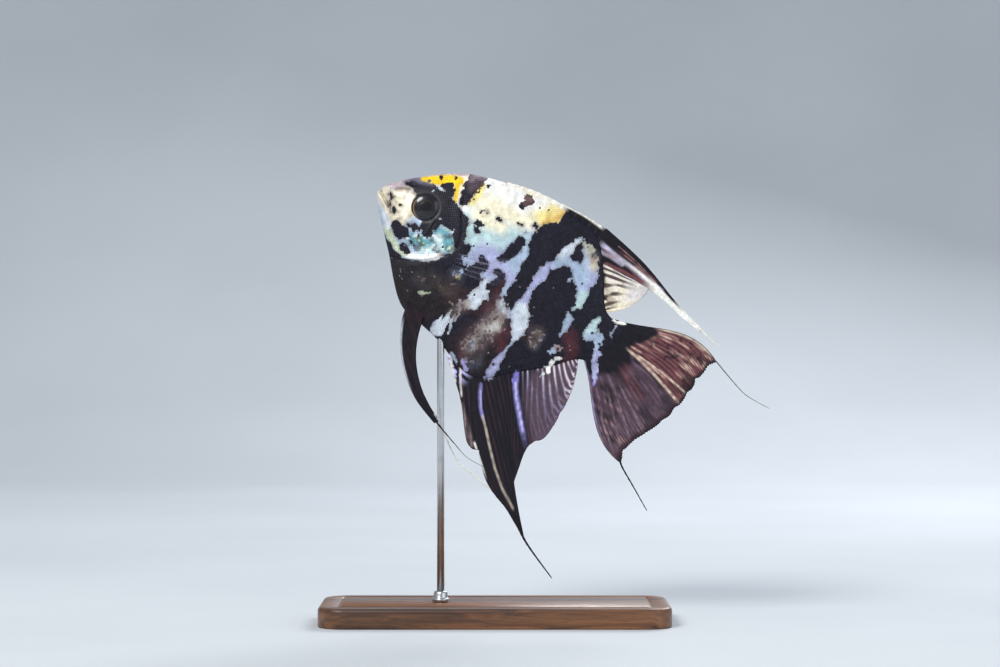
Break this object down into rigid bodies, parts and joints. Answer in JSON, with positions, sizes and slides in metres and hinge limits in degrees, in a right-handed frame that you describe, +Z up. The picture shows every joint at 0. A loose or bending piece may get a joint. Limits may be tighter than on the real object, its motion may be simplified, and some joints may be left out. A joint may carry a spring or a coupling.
{
  "type": "marble angelfish model on a display stand",
  "caption": "Life-size still model of a marble angelfish: deep disc-shaped body, trailing pointed fins and fin threads, nose up on a rod over a flat wooden base.",
  "frame": {"origin": "centre of the stand base's underside, on the floor", "axes": "+Z up; the fish faces -X with its nose tilted 34.4 degrees up, its left side faces -Y and its midplane is y = 0"},
  "size_m": [0.1336, 0.044, 0.134],
  "materials": {
    "skin": "wet scaly skin, marbled black, silver-blue, cream and yellow",
    "eye": "wet, dark iris with a thin gold ring",
    "dark_fin": "rayed membrane, black to red-brown with violet and pale rays",
    "pale_fin": "rayed membrane, cream to clear",
    "base_wood": "dark walnut, satin oil",
    "steel": "satin steel"
  },
  "bodies": {
    "root": {"head": "skin", "upper_jaw": "skin", "lower_jaw": "skin", "gill_cover_left": "skin", "gill_cover_right": "skin", "trunk": "skin", "tail_stalk": "skin", "eye_left": "eye", "eye_right": "eye", "dorsal_fin_spines": "pale_fin", "dorsal_fin_mast": "dark_fin", "dorsal_fin_thread": "pale_fin", "dorsal_fin_rays": "pale_fin", "anal_fin_spines": "dark_fin", "anal_fin_rays": "dark_fin", "anal_fin_thread": "dark_fin", "tail_fin": "dark_fin", "tail_fin_thread_upper": "pale_fin", "tail_fin_thread_lower": "dark_fin", "pectoral_fin_left": "pale_fin", "pectoral_fin_right": "pale_fin", "pelvic_fin_left": "dark_fin", "pelvic_fin_right": "dark_fin", "pelvic_fin_thread_left": "dark_fin", "pelvic_fin_thread_right": "pale_fin", "stand_base": "base_wood", "stand_rod": "steel", "stand_ferrule": "steel"}
  },
  "joints": []
}
